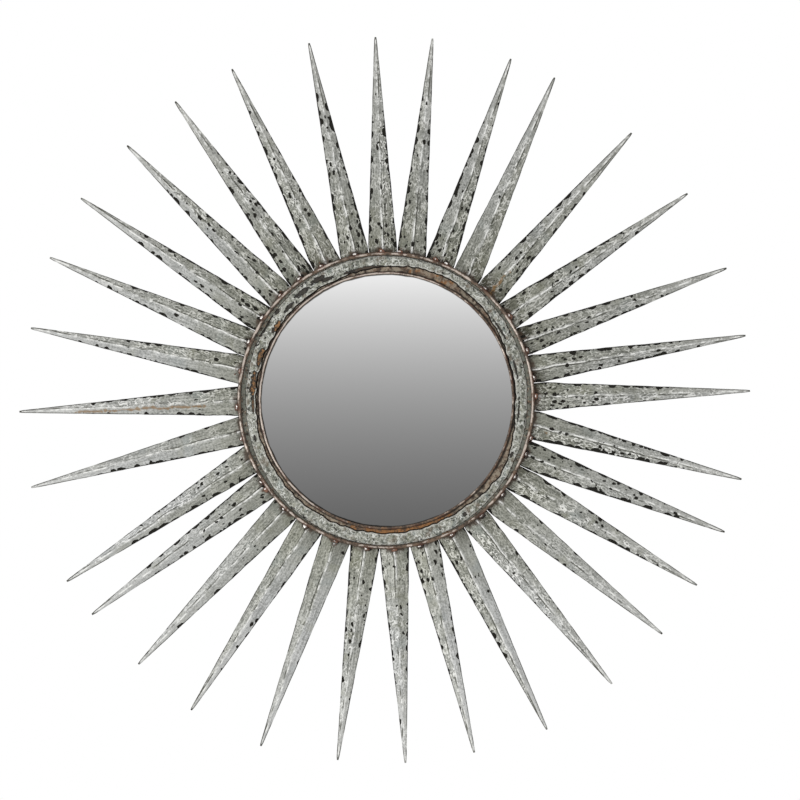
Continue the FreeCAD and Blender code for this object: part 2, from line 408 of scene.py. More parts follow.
rayFinish = {  # colours; the pairs are metres, from where a layer is missing to where it is full
    # halves tinted apart: the zinc's own tone, with painted light and shade on halves facing toward and away
    # from the light
    "shadedWarmHalf": (0.88, 0.88, 0.83), "litCoolHalf": (1.12, 1.12, 1.13),
    "smooth": (0.385, 0.392, 0.388),
    "fleckedFold": (0.006, 0.001),
    "root": (0.7, 0.7, 0.62), "rootTo": (0.13, 0.015),
    # painted shade near the root, by the rim
    "rootDark": (0.34, 0.32, 0.27), "rootDarkTo": (0.045, 0.014),
    "tip": (0.62, 0.62, 0.61), "tipTo": (0.11, 0.27),
    "patina": (0.725, 0.725, 0.7),  # on the darkest rays
    "rootStain": (0.06, 0.036, 0.023), "rootStainTo": (0.016, 0.01),
    "blotchSize": 0.007, "blotchReach": 0.016,
    "rust": (0.245, 0.136, 0.047), "rustBreaks": 0.005, "rustSway": 0.007, "rustSwaySize": 0.016,
    "moreFoldMarks": (0.11, 0.02),  # the fold, towards the root
    "belowWeld": (0.012, 0.02),
    # band and ridge: wear with a painted highlight along the fold
    "band": (0.6, 0.605, 0.59), "bandTo": (0.0036, 0.0006), "bandSizes": (0.016, 0.05, 1.0),
    "ridge": (0.86, 0.86, 0.83), "ridgeTo": (0.0011, 0.0004), "ridgeBreaks": 0.0065,
    # painted shade in the crease beside the fold
    "creaseShade": (0.22, 0.22, 0.19), "creaseSizes": (0.026, 0.02, 1.0),
    "creaseNear": (0.0008, 0.0014), "creaseFar": (0.0028, 0.002),
    "edge": (0.12, 0.12, 0.1), "edgeTo": (0.0013, 0.0005), "edgeSizes": (0.02, 0.01, 1.0),
    "chip": (0.014, 0.013, 0.01), "chipTo": (0.0, 0.0002),
    "chipRim": (0.004, 0.004, 0.0035), "chipRimTo": (0.0004, 0.0011),
    "chipsTo": (0.245, 0.1), "moreChipsTo": (0.1, 0.03),  # hardly any towards the tip
    "nibbleSize": 0.0034, "nibbleDepth": 0.0024,
    "chainLength": 0.045,  # of small chips in a row
    "pitSizes": (0.0105, 0.0062, 0.03), "pitWarp": (0.006, 0.004, 0.0), "pitWarpSize": 0.005,
    "pitRadii": (0.06, 0.36), "pitSoftness": 0.04,  # shares of those sizes
    "crowdSize": 0.026,
    "metallic": 0.25, "specular": 0.2,
}
longChips = {
    "step": 0.015,  # along an edge, one chip at most in each
    "depths": (0.001, 0.0038),
    "lengths": (0.13, 0.46),  # half length, as a share of the step
}
smallChips = {"step": 0.006, "depths": (0.0006, 0.0024), "lengths": (0.16, 0.46)}


def raySurface(tree):  # what the mesh of a ray says at each point
    ray = SimpleNamespace(place=attribute(tree, "rayPlace"))
    ray.along, ray.across = split(ray.place)[:2]
    ray.edgeGap, ray.sideSeed, ray.wear = split(attribute(tree, "rayEdge"))
    ray.halfTone, ray.smooth, ray.rootDark = split(attribute(tree, "rayHalf"))
    ray.aged, ray.edgeChips, ray.facePits = split(attribute(tree, "rayAge"))
    ray.offRidge = abs(ray.across)
    return ray


def fade(value, name):
    return ramp(value, *rayFinish[name])


def rayZincLook(ray):  # by halves with painted light and shade, darker at the root, partly painted shade, and paler at the tip
    fleckShare = ramp(ray.wear, 0.0, 0.7) + fade(ray.offRidge, "fleckedFold") * 0.5
    colour, grain, flecks = zincLook(ray.place, zinc, fleckShare * (1.15 - ray.smooth))
    colour = tint(ray.smooth * 0.38, colour, rayFinish["smooth"])
    halfTint = tint(ray.halfTone, rayFinish["shadedWarmHalf"], rayFinish["litCoolHalf"])
    colour = tint(1.0, colour, halfTint, "MULTIPLY")
    layers = (("root", 0.85, "MULTIPLY"), ("rootDark", ray.rootDark, "MULTIPLY"), ("tip", 0.47, "MIX"))
    for name, share, mode in layers:
        colour = tint(fade(ray.along, name + "To") * share, colour, rayFinish[name], mode)
    colour = tint(ramp(ray.aged, 0.0, 1.0), colour, rayFinish["patina"], "MULTIPLY")
    return tint(flecks * 0.34, colour, zinc["fleck"]), grain, flecks


def rustLine(ray):  # a thin wavy streak, broken up
    strength, middle, halfWidth = split(attribute(ray.place.tree, "rayRust"))
    sway = (cloud(ray.place, rayFinish["rustSwaySize"], 3.0) - 0.5) * rayFinish["rustSway"]
    off = abs(ray.across + sway - middle)
    depth = larger(1.0 - off / (halfWidth * 2.0), 0.0) * strength
    broken = cloud(ray.place, rayFinish["rustBreaks"], 3.0, 0.65) - 0.5
    return ramp(depth + broken * 2.2, 0.46, 0.8)


def stainRay(ray, colour):  # brown at the root, most beside the weld, and rust streaks
    blotch = cloud(ray.place, rayFinish["blotchSize"], 3.0) * rayFinish["blotchReach"]
    stain = fade(ray.along + ray.offRidge * 0.5 - blotch, "rootStainTo")
    colour = tint(stain * 0.85, colour, rayFinish["rootStain"])
    return tint(rustLine(ray) * 0.7, colour, rayFinish["rust"])


def foldWearHighlightAndShade(ray, colour, grain):  # rubbed bright in places and partly a painted highlight along the fold, with painted shade in the crease beside it
    more = fade(ray.along, "moreFoldMarks") * 0.06
    patchy = cloud(stretch(ray.place, rayFinish["bandSizes"]), 1.0, 4.0, 0.6) + more
    shown = fade(ray.along, "belowWeld")
    band = fade(ray.offRidge, "bandTo") * ramp(patchy, 0.42, 0.58) * ramp(grain, 0.3, 0.6) * shown
    colour = tint(band * 0.6, colour, rayFinish["band"])
    # pale line on the fold: wear and a painted highlight
    ridge = fade(ray.offRidge, "ridgeTo") * ramp(patchy, 0.45, 0.57) * shown
    ridge = ridge * ramp(cloud(ray.place, rayFinish["ridgeBreaks"]), 0.36, 0.54)
    colour = tint(ridge * 0.95, colour, rayFinish["ridge"])
    # painted shade in the crease either side of the fold
    creaseShade = fade(ray.across, "creaseNear") * fade(ray.across, "creaseFar")
    creased = cloud(stretch(ray.place, rayFinish["creaseSizes"]), 1.0) + more
    return tint(creaseShade * ramp(creased, 0.45, 0.58), colour, rayFinish["creaseShade"], "MULTIPLY")


def darkenEdges(ray, colour):
    darkened = ramp(cloud(stretch(ray.place, rayFinish["edgeSizes"]), 1.0), 0.32, 0.52)
    return tint(fade(ray.edgeGap, "edgeTo") * darkened, colour, rayFinish["edge"], "MULTIPLY")


def chippedEdges(ray, gap, share, longer, chips):  # how far inside a chip, in metres
    place = ray.along / chips["step"] + ray.sideSeed * 37.7
    distance, chances = scatter(place, "W", "1D")
    shortest, longest = chips["lengths"]
    shallow, deep = chips["depths"]
    halfLength = (chances[0] * (longest - shortest) + shortest) * longer
    lens = calc("SQRT", larger(1.0 - (distance / halfLength) ** 2.0, 0.0))
    inside = (chances[2] * (deep - shallow) + shallow) * lens - gap
    return larger(inside, 0.0) * calc("LESS_THAN", chances[1], share)


def bareRay(ray):  # coating chipped away along both edges, and pits over the faces
    thinning = fade(ray.along, "chipsTo") * 1.2 + fade(ray.along, "moreChipsTo") * 0.75
    bigger = ray.edgeChips * 0.35 + 0.75  # chips on a well chipped edge
    nibbles = (cloud(ray.place, rayFinish["nibbleSize"]) - 0.5) * rayFinish["nibbleDepth"]
    gap = (ray.edgeGap + nibbles) / bigger
    share = ray.edgeChips * thinning
    chains = cloud(joinPlace(ray.along / rayFinish["chainLength"], ray.sideSeed * 7.3), 1.0, 1.0)
    chainShare = ramp(chains, 0.42, 0.56) * (share * 0.8)
    small = chippedEdges(ray, gap, chainShare, bigger, smallChips)
    depth = larger(chippedEdges(ray, gap, share, bigger, longChips), small)
    pitPlace = stretch(warp(ray.place, rayFinish["pitWarpSize"], rayFinish["pitWarp"]), rayFinish["pitSizes"])
    pitShare = ramp(cloud(ray.place, rayFinish["crowdSize"], 1.0), 0.42, 0.6) * ray.facePits * thinning
    pits = spots(flatPlace(pitPlace), pitShare, rayFinish["pitRadii"], rayFinish["pitSoftness"])
    bare = larger(fade(depth, "chipTo"), pits)
    within = larger(fade(depth, "chipRimTo"), ramp(pits, 0.75, 1.0))
    return bare, tint(within, rayFinish["chipRim"], rayFinish["chip"])


def makeRayFinish():
    material = newFinish("galvanisedRay")[0]
    ray = raySurface(material.node_tree)
    colour, grain, flecks = rayZincLook(ray)
    colour = darkenEdges(ray, foldWearHighlightAndShade(ray, stainRay(ray, colour), grain))
    bare, chipTone = bareRay(ray)
    colour = tint(bare, colour, chipTone)
    roughness = larger(grain * 0.3 + 0.4, bare * 0.85)
    bumps = bump((grain + flecks) * 0.5 - bare, 0.0004, 0.9)
    metallic = (1.0 - bare) * rayFinish["metallic"]
    return coat(material, colour, roughness, bumps, metallic, rayFinish["specular"])


# rusted steel, for the hoops, the rim plate and the casing

rustTones = {
    "black": (0.016, 0.013, 0.011),
    "dark": (0.055, 0.042, 0.033),
    "brown": (0.185, 0.128, 0.09),
    "orange": (0.325, 0.152, 0.056),
    "bare": (0.34, 0.29, 0.25),
    "scorched": (0.095, 0.04, 0.026),
    # rubbed metal, and the painted highlight on the hoops
    "rubbedAndSheen": (0.62, 0.54, 0.475),
    "verdigris": (0.185, 0.195, 0.165),
    "specular": 0.25,
}


def rustLook(place, grainSize, wet):  # colour and grain of rust, orange where it is wet
    grain = cloud(place, grainSize, 4.0, 0.65)
    tone = cloud(place, grainSize * 5.0) * 0.45 + grain * 0.55
    colour = tint(ramp(tone, 0.4, 0.62), rustTones["dark"], rustTones["brown"])
    shifted = stretch(place, (1.2, 0.9, 1.1))
    orange = ramp(cloud(shifted, grainSize * 3.0, 3.0) + wet, 0.64, 0.8)
    blooming = tint(ramp(grain, 0.28, 0.56), rustTones["dark"], rustTones["orange"])
    return tint(orange * 0.85, colour, blooming), grain


casing = {"grain": 0.0045, "wet": 0.05, "rubbedSize": 0.012}


def makeCasingFinish():
    material, place = newFinish("rustedCasing")
    colour, grain = rustLook(place, casing["grain"], casing["wet"])
    rubbedAndSheen = ramp(cloud(place, casing["rubbedSize"], 3.0, 0.6), 0.58, 0.7)
    colour = tint(rubbedAndSheen * 0.6, colour, rustTones["bare"])
    return coat(material, colour, 0.75 - rubbedAndSheen * 0.3, bump(grain, 0.0005, 0.8), rubbedAndSheen * 0.5)


def towards(x, z, clockDegrees, spread):  # 1 at that hour of the rim, 0 past the spread
    angle = radians(clockDegrees)
    ahead = x * sin(angle) + z * cos(angle)
    return ramp(ahead / ringRadius(x, z), cos(radians(spread)), 1.0)


plate = {
    "grain": 0.003, "roughness": 0.8,
    "grooveAt": (0.1715, 0.1735),  # radii over which the painted shade in the groove inside the outer rod starts
    "seamAt": (0.1611, 0.1599),  # and the painted shade in the seam beside the inner wire
    "ragged": 0.004, "raggedSize": 0.008,
    "dust": (0.42, 0.365, 0.28), "dustShare": 0.6, "dustSize": 0.005,
    "dustFreeFrom": 0.22,  # how wet a place without dust is
    "greenSize": 0.0055,
    "driest": -0.06,
    "wettest": (  # clock degrees, spread, share
        (24.0, 24.0, 0.14), (118.0, 26.0, 0.1), (172.0, 34.0, 0.4), (285.0, 30.0, 0.1),
    ),
}


def makePlateFinish():
    material, place = newFinish("rustedPlate")
    x, z = split(place)[::2]
    wet = plate["driest"]
    for clockDegrees, spread, share in plate["wettest"]:
        wet = wet + towards(x, z, clockDegrees, spread) * share
    colour, grain = rustLook(place, plate["grain"], wet)
    dusty = ramp(cloud(place, plate["dustSize"], 3.0, 0.6), 0.42, 0.57)
    dusty = dusty * ramp(wet, plate["dustFreeFrom"], 0.0)
    colour = tint(dusty * plate["dustShare"], colour, plate["dust"])
    # painted shade, near black, in the groove inside the outer rod and in the seam beside the inner wire
    ragged = (cloud(place, plate["raggedSize"], 3.0) - 0.5) * plate["ragged"]
    radius = ringRadius(x, z) + ragged
    groove = ramp(radius, *plate["grooveAt"])
    seam = ramp(radius, *plate["seamAt"])
    darkened = larger(groove * ramp(grain, 0.6, 0.44), seam)
    colour = tint(darkened * 0.85, colour, rustTones["black"])
    green = groove * ramp(cloud(place, plate["greenSize"], 3.0, 0.6), 0.38, 0.54)
    colour = tint(green * 0.8, colour, rustTones["verdigris"])
    bumps = bump(grain, 0.0006, 0.9)
    return coat(material, colour, plate["roughness"], bumps, specular=rustTones["specular"])


hoopFinish = {"grain": 0.0024, "breakSize": 0.01}


def makeHoopFinish():
    material, place = newFinish("rustedHoop")
    lightFacing, heat, wet = split(attribute(place.tree, "hoopLightFacing"))
    colour, grain = rustLook(place, hoopFinish["grain"], wet)
    # painted shade on the flank turned away from the light
    colour = tint(ramp(lightFacing, 0.55, 0.05) * 0.85, colour, rustTones["black"])
    breaks = cloud(place, hoopFinish["breakSize"], 4.0, 0.6) - 0.5
    # bare rubbed metal with a painted highlight on the flank facing the light
    rubbedAndSheen = ramp(lightFacing + breaks * 1.5 - wet * 1.5, 0.88, 1.1)
    colour = tint(rubbedAndSheen * 0.8, colour, rustTones["rubbedAndSheen"])
    scorched = ramp(heat + (grain - 0.5), 0.25, 0.65)
    colour = tint(scorched * 0.8, colour, rustTones["scorched"])
    bumps = bump(grain, 0.0004, 0.8)
    return coat(material, colour, 0.66 - rubbedAndSheen * 0.3, bumps, rubbedAndSheen * 0.5, rustTones["specular"])


rayZinc = makeRayFinish()
hoopRust = makeHoopFinish()
plateRust = makePlateFinish()
casingRust = makeCasingFinish()
print("main finishes made")


# putting a finished mesh in the scene as a piece of the object

def addPiece(name, work, material, replaced, attributes=None, sharpAngle=40.0):
    for face in work.faces:
        face.smooth = True
    for edge in work.edges:
        if edge.is_manifold and edge.calc_face_angle() > radians(sharpAngle):
            edge.smooth = False
    piece = addMesh(name, work, material)
    for title, values in (attributes or {}).items():
        layer = piece.data.attributes.new(title, "FLOAT_VECTOR", "POINT")
        layer.data.foreach_set("vector", [number for value in values for number in value])
    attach(piece, "mirror_body")
    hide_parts(replaced)


def easeIn(value, low, high):
    share = min(1.0, max(0.0, (value - low) / (high - low)))
    return share * share * (3.0 - 2.0 * share)


def wobble(first, second, third=0.0):
    return noise.noise(Vector((first, second, third)))


def cutAcross(work, point, normal):
    everything = work.verts[:] + work.edges[:] + work.faces[:]
    bmesh.ops.bisect_plane(work, geom=everything, dist=1e-7, plane_co=point, plane_no=normal)


# folded rays, cut from copies of the solids and then hammered

rays = {
    "count": 32,
    "cutStep": 0.005,  # between cuts across a ray
    "ridgeCuts": (0.0012, 0.0026),  # beside the fold
    "shareCuts": (0.38, 0.68, 0.9),  # of the way from the fold to an edge
    "ridgeRise": 0.0007, "ridgeSink": 0.0004,  # where the fold is sharp, and where it is worn round
    "sharpSize": 0.03,  # length of a sharp stretch
    "ridgeSway": 0.0022, "swaySizes": (0.028, 0.011),
    "swayWidth": 0.006,  # either side of the fold
    "swayFade": (0.02, 0.16),  # from the tip, which is straight
    "twist": 4.0,  # degrees either way that a ray leans
    "bends": {3: 5.0, 6: -6.0, 9: -7.0, 17: 4.0, 23: 9.0, 26: 7.0, 28: 5.0},  # degrees added to a ray's fold
    "tipRound": 0.0045, "tipNarrowing": 0.5,
    "dentDepth": 0.0007, "dentSizes": (0.019, 0.007),
    "edgeWander": 0.0007, "edgeWanderSizes": (0.022, 0.007),
    "rimFade": (-0.004, 0.008),  # past the rim, behind which a ray stays flat
    "tipFade": 0.012,
    "bareRoot": 0.002,  # the inner end doesn't count as an edge
    "wearLeast": 0.33, "wearMost": 0.73, "wearSpread": 0.12,  # how flecked the faces are
    "wearDirection": 38.0,  # where they are most flecked, in clock degrees
    "agedDirection": 28.0,  # where the zinc is darkest
    "toneSpread": 0.7,  # how much the halves differ in tone and painted light
    "toneStep": 0.08,  # clockwise halves are a little paler, painted light
    "smoothSpread": 0.65,
    "smoothStep": 0.35,  # and the others the smoother
    "palerCounter": (3, 4, 5, 15, 16, 19, 20, 26, 27, 28, 29),  # rays with a paler counter-clockwise half, painted light
    "palerClockwise": (6, 8, 9, 23), "evenHalves": (1, 10, 25, 32), "palerBy": 0.45,
    "seedStep": 0.4,
    "chipAmounts": (0.12, 0.6, 0.95, 1.65),  # edges chipped hardly at all, a little, well, all along
    "pitAmounts": (0.05, 0.27, 0.52, 0.85),  # the same for pits in the faces
}
rayMarks = (  # each ray's counter-clockwise edge, clockwise edge and faces, as entries in those amounts
    (1, 3, 2), (2, 2, 2), (3, 2, 2), (0, 0, 0), (2, 1, 1), (3, 2, 2), (2, 2, 2), (3, 3, 3),
    (2, 1, 2), (3, 3, 2), (3, 3, 3), (1, 3, 1), (0, 1, 0), (0, 1, 0), (0, 3, 1), (1, 1, 1),
    (1, 2, 1), (1, 1, 1), (0, 0, 0), (1, 0, 0), (1, 0, 0), (2, 2, 2), (3, 1, 1), (3, 0, 0),
    (2, 2, 0), (2, 1, 0), (2, 1, 1), (2, 2, 2), (2, 1, 2), (2, 2, 3), (3, 2, 3), (2, 3, 3),
)
rustStreaks = {  # ray number: from, to, off the fold, half width, strength
    5: (0.006, 0.076, 0.001, 0.0026, 1.0),
    10: (0.02, 0.062, 0.005, 0.0026, 0.8),
    25: (0.045, 0.245, -0.0038, 0.0022, 0.9),
}
noStreak = (0.0, 0.0, 0.0, 0.001, 0.0)
streakFades = (0.012, 0.045)  # lengths over which a streak starts and fades out


def rayAxes(mesh):  # root and tip of the fold, directions along and clockwise across
    front = min(vertex.co.y for vertex in mesh.vertices)
    fold = [vertex.co.copy() for vertex in mesh.vertices if vertex.co.y < front + 1e-5]
    fold.sort(key=lambda point: hypot(point.x, point.z))
    root = fold[0]
    tip = fold[-1]
    along = (tip - root).normalized()
    across = Vector((along.z, 0.0, -along.x))
    return root, tip, along, across


def cutRay(work, root, along, across, length):
    steps = round(length / rays["cutStep"])
    for step in range(1, steps):
        cutAcross(work, root + along * (step * length / steps), along)
    places = [((v.co - root).dot(along), abs((v.co - root).dot(across))) for v in work.verts]
    widestAt, widest = max(places, key=lambda place: place[1])
    tipHalf = max(half for distance, half in places if distance > length - 1e-5)
    taper = (widest - tipHalf) / (length - widestAt)
    rootHalf = tipHalf + taper * length
    pointAt = length + tipHalf / taper  # where the two edges would meet
    for side in (-1.0, 1.0):
        for offset in rays["ridgeCuts"]:
            cutAcross(work, root + across * side * offset, across)
        for share in rays["shareCuts"]:
            reach = share * rootHalf
            normal = across * side * pointAt + along * reach
            cutAcross(work, root + across * side * reach, normal.normalized())


def rayMesh(solid, root, along, across, length):
    work = bmesh.new()
    work.from_mesh(solid)
    bmesh.ops.remove_doubles(work, verts=work.verts, dist=1e-6)
    bmesh.ops.dissolve_limit(work, angle_limit=0.02, verts=work.verts, edges=work.edges)
    cutRay(work, root, along, across, length)
    work.verts.ensure_lookup_table()
    return work


def edgeGaps(work, flat):  # from each point to the nearest edge of the sheet
    border = {v.index for e in work.edges if e.calc_face_angle(0.0) > 1.0 for v in e.verts}
    border = [number for number in border if flat[number][0] > rays["bareRoot"]]
    edges = kdtree.KDTree(len(border))
    for number in border:
        edges.insert(flat[number], number)
    edges.balance()
    return [edges.find(place)[2] for place in flat]


def pushedOut(distance, sideways, seed, lean, bend):  # how far a point is hammered out of the sheet
    coarse, fine = rays["dentSizes"]
    dents = wobble(distance / coarse, sideways / coarse, seed * 9.0)
    finer = wobble(distance / fine, sideways / fine, seed * 5.0 + 3.0)
    push = rays["dentDepth"] * (dents + 0.4 * finer) + sideways * lean
    push -= abs(sideways) * bend
    sharp = easeIn(wobble(distance / rays["sharpSize"], seed * 7.0), -0.25, 0.3)
    if abs(sideways) < rays["ridgeCuts"][0] * 0.5:
        push += rays["ridgeRise"] * sharp - rays["ridgeSink"] * (1.0 - sharp)
    return push


def pushedAside(distance, sideways, seed, length, halfWidth):  # how far it is moved across the ray
    broad, narrow = rays["swaySizes"]
    sway = wobble(distance / broad, seed * 3.0, 5.0) + 0.35 * wobble(distance / narrow, seed * 3.0, 8.0)
    drift = rays["ridgeSway"] * sway * max(0.0, 1.0 - abs(sideways) / rays["swayWidth"])
    drift *= easeIn(length - distance, *rays["swayFade"])
    broad, narrow = rays["edgeWanderSizes"]
    wander = wobble(distance / broad, copysign(2.0, sideways), seed * 3.0)
    wander += 0.5 * wobble(distance / narrow, copysign(4.0, sideways), seed * 3.0)
    return drift + rays["edgeWander"] * wander * (sideways / halfWidth)


def rustStreak(number, distance):  # strength at that distance, place across and half width
    start, end, middle, halfWidth, strength = rustStreaks.get(number, noStreak)
    ends = min(1.0, (distance - start) / streakFades[0], (end - distance) / streakFades[1])
    return strength * max(0.0, ends), middle, halfWidth


def rayLooks(index, flat, gaps, wear, halves):  # what the finish reads at each point
    looks = {"rayPlace": [], "rayEdge": [], "rayRust": [], "rayHalf": [], "rayAge": []}
    turned = index * 360.0 / rays["count"] - rays["agedDirection"]
    aged = 0.5 + 0.5 * cos(radians(turned))
    pits = rays["pitAmounts"][rayMarks[index][2]]
    for place, gap in zip(flat, gaps):
        distance, sideways = place[:2]
        side = 0 if sideways < 0.0 else 1
        chips = rays["chipAmounts"][rayMarks[index][side]]
        looks["rayPlace"].append((distance, sideways, index * rays["seedStep"]))
        looks["rayEdge"].append((gap, index * 2.0 + side, wear))
        looks["rayRust"].append(rustStreak(index + 1, distance))
        looks["rayHalf"].append(halves[side])
        looks["rayAge"].append((aged, chips, pits))
    return looks


def makeRay(index, wear, twist, halves):
    node = nodes["ray_%02d" % (index + 1)]
    root, tip, along, across = rayAxes(node.data)
    length = (tip - root).length
    work = rayMesh(node.data, root, along, across, length)
    flat = [((v.co - root).dot(along), (v.co - root).dot(across), 0.0) for v in work.verts]
    looks = rayLooks(index, flat, edgeGaps(work, flat), wear, halves)
    halfWidth = max(abs(place[1]) for place in flat)
    rim = outerRadius("outer_rod") - hypot(root.x, root.z)
    bend = tan(radians(rays["bends"].get(index + 1, 0.0)))
    lean = tan(radians(twist))
    seed = index * rays["seedStep"]
    for vertex in work.verts:
        distance, sideways = flat[vertex.index][:2]
        free = easeIn(distance, *(rim + edge for edge in rays["rimFade"]))
        lively = free * easeIn(length - distance, 0.0, rays["tipFade"])
        push = pushedOut(distance, sideways, seed, lean, bend)
        drift = pushedAside(distance, sideways, seed, length, halfWidth)
        past = max(0.0, distance - length + rays["tipRound"]) / rays["tipRound"]
        narrowing = sideways * (1.0 - sqrt(1.0 - rays["tipNarrowing"] * past * past))
        vertex.co += across * (drift * lively - narrowing) - Vector((0.0, push * lively, 0.0))
    name = "foldedRay%02d" % (index + 1)
    addPiece(name, work, rayZinc, node.name, looks, sharpAngle=60.0)
    return atan2(along.x, along.z)


def chosenTone(number, side, tone):  # painted light and tone, for rays whose halves clearly differ or clearly don't
    if number in rays["palerCounter"]:
        return 0.5 + rays["palerBy"] * (1 - 2 * side)
    if number in rays["palerClockwise"]:
        return 0.5 - rays["palerBy"] * (1 - 2 * side)
    if number in rays["evenHalves"]:
        return 0.5
    return tone


def makeRays():
    dice = random.Random(11)
    directions = []
    for index in range(rays["count"]):
        direction = index * 360.0 / rays["count"] - rays["wearDirection"]
        share = 0.5 + 0.5 * cos(radians(direction))
        wear = rays["wearLeast"] + share ** 0.6 * (rays["wearMost"] - rays["wearLeast"])
        twist = dice.uniform(-rays["twist"], rays["twist"])
        wear += dice.uniform(-rays["wearSpread"], rays["wearSpread"])
        halves = []
        for side in (0, 1):  # tone with painted light and shade, smoothness and painted shade at the root of each half
            tone = 0.5 + rays["toneStep"] * (side - 0.5) + rays["toneSpread"] * (dice.random() - 0.5)
            tone = chosenTone(index + 1, side, tone)
            smooth = rays["smoothStep"] * (1 - side) + rays["smoothSpread"] * dice.random()
            halves.append((tone, smooth, dice.random() ** 2 * (0.5 + 0.8 * share)))
        directions.append(makeRay(index, wear, twist, halves))
        print("ray", index + 1, "made")
    return directions


rayDirections = makeRays()


# hoops of the rim, drawn a little uneven

hoop = {
    "sides": 14, "turns": 420,
    "thinning": 0.08,  # share of the wire's thickness
    "thinSize": 0.009,
    "thinRight": 0.06,  # worn thinner on the right
    # direction the painted light comes from: highlight on the flank facing it, shade on the flank away
    "paintedLightFrom": (-0.42, -0.9, 0.05),
    "brightestAt": -75.0,  # clock degrees where the painted highlight is strongest
    "sway": 0.0003, "swaySize": 0.035,
    "scorchedTo": 0.008,  # either side of a weld
    "driest": -0.06,
}


def ringPoint(clock, radius, depth):
    return Vector((radius * sin(clock), -depth, radius * cos(clock)))


def ringNoise(clock, radius, size, seed):  # a noise that closes on itself round the rim
    around = ringPoint(clock, radius / size, seed)
    return noise.noise(around)


def spinProfile(middleRadius, depth, thickness, sides, turns):  # a round bar bent into a hoop
    work = bmesh.new()
    start = Matrix.Translation((middleRadius, -depth, 0.0))
    bmesh.ops.create_circle(work, segments=sides, radius=thickness, matrix=start)
    bmesh.ops.spin(
        work, geom=work.verts[:] + work.edges[:], cent=(0, 0, 0), axis=(0, 1, 0),
        angle=tau, steps=turns, use_merge=True,
    )
    bmesh.ops.recalc_face_normals(work, faces=work.faces)
    return work


def makeHoop(name, node, oval, leftwards, wetAtFoot, paintedLightShare):
    low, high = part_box(node)
    thickness = (high.y - low.y) / 2
    middleRadius = high.x - thickness
    depth = -(high.y + low.y) / 2
    work = spinProfile(middleRadius, depth, thickness, hoop["sides"], hoop["turns"])
    lightFacingValues = []
    paintedLightFrom = Vector(hoop["paintedLightFrom"]).normalized()
    for vertex in work.verts:
        clock = atan2(vertex.co.x, vertex.co.z)
        middle = ringPoint(clock, middleRadius, depth)
        uneven = 0.5 + 0.5 * ringNoise(clock, middleRadius, hoop["thinSize"], depth * 900.0)
        thin = 1.0 - hoop["thinning"] * uneven - hoop["thinRight"] * (0.5 + 0.5 * sin(clock))
        sway = hoop["sway"] * ringNoise(clock, middleRadius, hoop["swaySize"], depth * 700.0)
        sway += oval * cos(2.0 * clock) - leftwards * sin(clock)
        # painted light: how much each point faces the lamp, stronger at some hours
        lightFacing = (vertex.co - middle).dot(paintedLightFrom) / thickness
        lightFacing += paintedLightShare * (0.3 + cos(clock - radians(hoop["brightestAt"])))
        outside = max(0.0, (hypot(vertex.co.x, vertex.co.z) - middleRadius) / thickness)
        nearest = min(abs(remainder(clock - direction, tau)) for direction in rayDirections)
        heat = exp(-((nearest * middleRadius / hoop["scorchedTo"]) ** 2))
        wet = wetAtFoot * easeIn(-cos(clock), 0.75, 0.97) + hoop["driest"]
        lightFacingValues.append((lightFacing, (0.35 + 0.65 * outside) * heat, wet))
        vertex.co = middle + (vertex.co - middle) * thin + ringPoint(clock, sway, 0.0)
    addPiece(name, work, hoopRust, node, {"hoopLightFacing": lightFacingValues})


makeHoop("innerWireHoop", "inner_wire", oval=0.0006, leftwards=0.0, wetAtFoot=0.12, paintedLightShare=0.24)
makeHoop("outerRodHoop", "outer_rod", oval=0.0, leftwards=0.0003, wetAtFoot=0.06, paintedLightShare=0.0)
print("hoops made")


# galvanised strip on the rim, hand cut, with a curled inner edge and flaked places

strip = {
    "sides": 24, "turns": 960,
    "bar": 0.002,  # of the round profile that is pressed into a strip
    "innerRadius": 0.162, "outerRadius": 0.1768,
    "oval": 0.0024,  # outer edge further out at top and bottom
    "setBacks": (  # clock degrees, spread, how far
        (20.0, 30.0, 0.008), (78.0, 22.0, -0.0022), (122.0, 16.0, 0.006),
        (182.0, 48.0, 0.0034), (245.0, 30.0, 0.0012),
    ),
    "jags": ((0.024, 0.0012), (0.0085, 0.0019)),  # size along, how far
    "sheet": 0.0009,
    "outerJags": 0.5,  # the outer edge is cut more evenly
    "innerSkirt": 0.0018,  # dark cut edge and painted shade, a skirt that shows round the strip
    "outerSkirt": 0.0008,
    "backLift": 0.00015,  # off the rim plate
    "frontLift": 0.0005, "rise": 0.0009,
    "lipRise": 0.0021, "lipWidth": 0.0022, "lipSize": 0.03,
    "dentDepth": 0.0007, "dentSizes": (0.012, 0.005),
}
flakedPlaces = [  # clock degrees, radius, length, width, share of orange rust (2 for a drop of solder)
    (-9.0, 0.1657, 0.062, 0.0052, 0.1),
    (-26.0, 0.1672, 0.022, 0.0048, 0.0),
    (-30.0, 0.1722, 0.024, 0.0066, 0.0),
    (-38.0, 0.1696, 0.026, 0.0068, 0.0),
    (-46.0, 0.1672, 0.02, 0.0056, 0.0),
    (-51.0, 0.1742, 0.009, 0.005, 0.0),
    (-59.0, 0.1756, 0.034, 0.0048, 0.0),
    (-56.0, 0.164, 0.023, 0.007, 0.9),
    (-66.0, 0.1755, 0.0085, 0.008, 2.0),
    (-71.0, 0.1654, 0.031, 0.008, 1.0),
    (-83.0, 0.1664, 0.039, 0.0078, 1.0),
    (-92.0, 0.1656, 0.026, 0.0036, 0.3),
    (-106.0, 0.1695, 0.009, 0.0035, 0.0),
    (58.0, 0.1662, 0.04, 0.003, 0.0),
    (76.0, 0.165, 0.044, 0.0028, 0.0),
    (94.0, 0.1644, 0.036, 0.0026, 0.0),
    (113.5, 0.169, 0.011, 0.004, 0.0),
    (145.5, 0.171, 0.007, 0.0055, 0.0),
]


